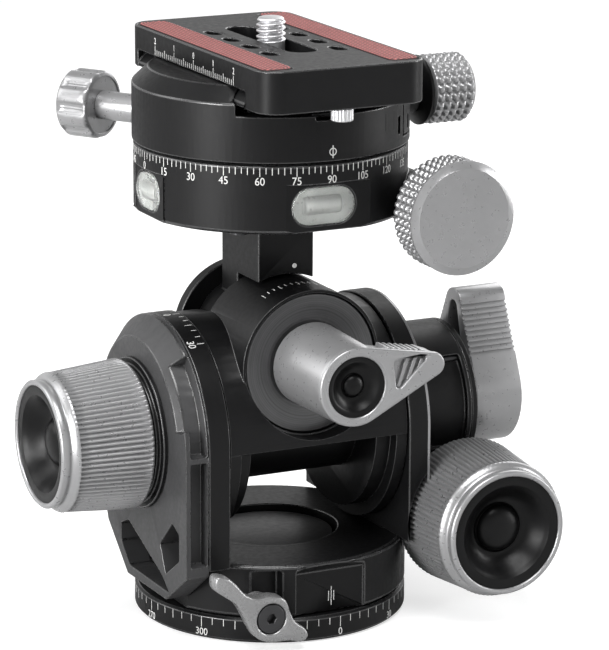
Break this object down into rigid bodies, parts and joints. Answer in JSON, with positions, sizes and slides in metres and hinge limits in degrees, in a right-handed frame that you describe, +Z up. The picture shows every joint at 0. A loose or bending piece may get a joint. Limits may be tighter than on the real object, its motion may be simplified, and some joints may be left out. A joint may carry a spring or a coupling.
{
  "type": "geared tripod head",
  "caption": "Geared tripod head: a base, a frame that pitches a block by worm gear, a rolling neck, a geared panning ring with levels and a clamp with camera plate.",
  "frame": {"origin": "Centre of the base's underside, on the lower panning axis.", "axes": "+Z up along both panning axes, -Y is the front with the index mark and the front level, +X is the user's right with the pitch gear. The pitch axis runs along X and the roll axis along Y."},
  "size_m": [0.1119, 0.0888, 0.1312],
  "materials": {
    "black_anodised": "satin black anodising",
    "satin_silver": "bead-blasted titanium grey anodising",
    "black_cup": "glossy black",
    "steel": "turned",
    "bronze": "turned bronze",
    "turned_grey": "turned, dark grey",
    "level_glass": "clear acrylic",
    "grip_pad": "woven texture"
  },
  "bodies": {
    "base": {"base_disc": "black_anodised", "base_hub": "black_anodised", "tripod_bush": "steel", "hub_cap": "black_anodised", "hub_screws": "steel"},
    "frame": {"frame_plate": "black_anodised", "left_arm": "black_anodised", "right_arm": "black_anodised", "truss_arm": "black_anodised", "knob_seat_ring": "black_anodised", "arm_screws": "steel", "trunnion_bushes": "bronze", "gear_housing": "black_anodised", "housing_cover": "black_anodised", "housing_screws": "steel", "worm_end_cap": "black_anodised"},
    "base_lock": {"base_lock_lever": "satin_silver", "base_lock_screw": "steel"},
    "block": {"pitch_block": "black_anodised", "front_disc": "turned_grey", "rear_cap": "black_anodised", "rear_cap_screws": "steel", "pitch_shaft": "steel", "pitch_worm_wheel": "bronze", "lever_collar": "satin_silver", "worm_sleeve": "bronze"},
    "pitch_lock": {"pitch_lever": "satin_silver"},
    "pitch_drive": {"pitch_knob": "satin_silver", "pitch_knob_cup": "black_cup", "pitch_worm": "steel"},
    "roll_drive": {"roll_knob": "satin_silver", "roll_knob_cup": "black_cup", "roll_worm": "steel"},
    "neck": {"neck": "black_anodised", "roll_shaft": "steel", "roll_worm_wheel": "bronze", "panning_ring": "black_anodised", "front_vial": "level_glass", "side_vial": "level_glass", "neck_screws": "steel", "pan_worm_sleeve": "bronze"},
    "roll_lock": {"roll_lever": "satin_silver", "roll_lever_cup": "black_cup"},
    "pan_drive": {"pan_knob": "satin_silver", "pan_worm": "steel"},
    "drum": {"clamp_drum": "black_anodised", "pan_worm_wheel": "bronze", "wheel_screws": "steel", "pan_retainer": "steel", "jaw_guides": "steel"},
    "pan_lock": {"pan_lock_knob": "satin_silver"},
    "jaw": {"moving_jaw": "black_anodised"},
    "clamp_drive": {"clamp_knob": "satin_silver", "clamp_collar": "black_cup", "clamp_screw": "steel"},
    "plate": {"camera_plate": "black_anodised", "grip_strips": "grip_pad", "safety_screws": "steel"},
    "screw_slider": {"screw_washer": "steel"},
    "camera_screw": {"camera_screw": "steel"}
  },
  "joints": [
    {"name": "base_pan", "type": "hinge", "parent": "base", "child": "frame", "pos_m": [0, 0, 0.01], "axis": [0, 0, 1], "continuous": true},
    {"name": "base_lock_turn", "type": "hinge", "parent": "frame", "child": "base_lock", "pos_m": [-0.01575, -0.03, 0.0081], "axis": [0, -1, 0], "range_deg": [0, 50]},
    {"name": "pitch", "type": "hinge", "parent": "frame", "child": "block", "pos_m": [0, 0, 0.0427], "axis": [1, 0, 0], "range_deg": [-90, 30]},
    {"name": "pitch_lock_turn", "type": "hinge", "parent": "block", "child": "pitch_lock", "pos_m": [0.05, 0, 0.0427], "axis": [1, 0, 0], "range_deg": [0, 60]},
    {"name": "pitch_knob_turn", "type": "hinge", "parent": "frame", "child": "pitch_drive", "pos_m": [0.0385, -0.03, 0.0213], "axis": [0, -1, 0], "range_deg": [-2700, 900]},
    {"name": "roll_knob_turn", "type": "hinge", "parent": "block", "child": "roll_drive", "pos_m": [-0.04, 0, 0.0427], "axis": [-1, 0, 0], "range_deg": [-900, 900]},
    {"name": "roll", "type": "hinge", "parent": "block", "child": "neck", "pos_m": [0, 0, 0.0593], "axis": [0, 1, 0], "range_deg": [-30, 30]},
    {"name": "roll_lock_turn", "type": "hinge", "parent": "neck", "child": "roll_lock", "pos_m": [0, -0.03, 0.0593], "axis": [0, -1, 0], "range_deg": [0, 60]},
    {"name": "pan_knob_turn", "type": "hinge", "parent": "neck", "child": "pan_drive", "pos_m": [0.0265, -0.03, 0.0922], "axis": [0, -1, 0], "range_deg": [-9000, 9000]},
    {"name": "pan", "type": "hinge", "parent": "neck", "child": "drum", "pos_m": [0, 0, 0.1], "axis": [0, 0, 1], "range_deg": [-150, 150]},
    {"name": "pan_lock_turn", "type": "hinge", "parent": "drum", "child": "pan_lock", "pos_m": [-0.0218, 0.03355, 0.1076], "axis": [-0.5446, 0.8387, 0], "range_deg": [0, 180]},
    {"name": "jaw_slide", "type": "slide", "parent": "drum", "child": "jaw", "axis": [1, 0, 0], "range_m": [0, 0.004]},
    {"name": "clamp_knob_turn", "type": "hinge", "parent": "jaw", "child": "clamp_drive", "pos_m": [0.04, 0, 0.1125], "axis": [1, 0, 0], "range_deg": [0, 1800]},
    {"name": "plate_slide", "type": "slide", "parent": "drum", "child": "plate", "axis": [0, 1, 0], "range_m": [-0.004, 0.004]},
    {"name": "camera_screw_slide", "type": "slide", "parent": "plate", "child": "screw_slider", "axis": [0, 1, 0], "range_m": [-0.014, 0.014]},
    {"name": "camera_screw_turn", "type": "hinge", "parent": "screw_slider", "child": "camera_screw", "pos_m": [0, 0, 0.125], "axis": [0, 0, 1], "continuous": true}
  ],
  "couplings": [
    {"joint": "pitch_knob_turn", "follows": "pitch", "ratio": 30},
    {"joint": "roll_knob_turn", "follows": "roll", "ratio": 30},
    {"joint": "pan_knob_turn", "follows": "pan", "ratio": 60},
    {"joint": "clamp_knob_turn", "follows": "jaw_slide", "rad_per_m": 7854}
  ]
}
